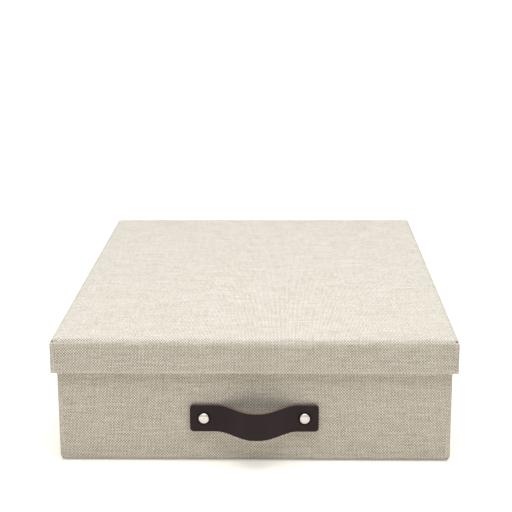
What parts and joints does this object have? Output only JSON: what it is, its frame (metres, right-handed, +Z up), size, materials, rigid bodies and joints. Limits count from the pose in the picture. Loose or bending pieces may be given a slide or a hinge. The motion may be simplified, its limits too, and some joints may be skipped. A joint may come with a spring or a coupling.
{
  "type": "document box with lift-off lid",
  "caption": "Flat rectangular document box for A4 papers: cloth-covered board tray, overhanging lift-off lid and a riveted leather strap pull on one short side.",
  "frame": {"origin": "centre of the tray's underside, on the surface that the box stands on", "axes": "+Z up; +Y to the back, away from the strap pull; +X to the right as seen from the front"},
  "size_m": [0.26, 0.3651, 0.084],
  "materials": {
    "woven_cover": "plain-weave linen cloth on paper, matt",
    "greyboard": "solid pressed greyboard, matt",
    "lining_paper": "smooth uncoated paper, matt",
    "kraft_tape": "gummed kraft tape, matt",
    "strap_leather": "dark brown leather, satin, raw cut edge",
    "nickel": "nickel-plated steel, polished"
  },
  "bodies": {
    "tray": {"tray_board": "greyboard", "tray_cover": "woven_cover", "tray_wall_lining": "lining_paper", "tray_floor_lining": "lining_paper", "tray_corner_stay_front_left": "kraft_tape", "tray_corner_stay_front_right": "kraft_tape", "tray_corner_stay_back_left": "kraft_tape", "tray_corner_stay_back_right": "kraft_tape", "handle_strap": "strap_leather", "rivet_cap_left": "nickel", "rivet_cap_right": "nickel", "rivet_left": "nickel", "rivet_right": "nickel", "rivet_washer_left": "nickel", "rivet_washer_right": "nickel"},
    "lid": {"lid_board": "greyboard", "lid_cover": "woven_cover", "lid_lining": "lining_paper", "lid_corner_stay_front_left": "kraft_tape", "lid_corner_stay_front_right": "kraft_tape", "lid_corner_stay_back_left": "kraft_tape", "lid_corner_stay_back_right": "kraft_tape"}
  },
  "joints": [
    {"name": "lid_lift", "type": "slide", "parent": "tray", "child": "lid", "axis": [0, 0, 1], "range_m": [0, 0.12]}
  ]
}
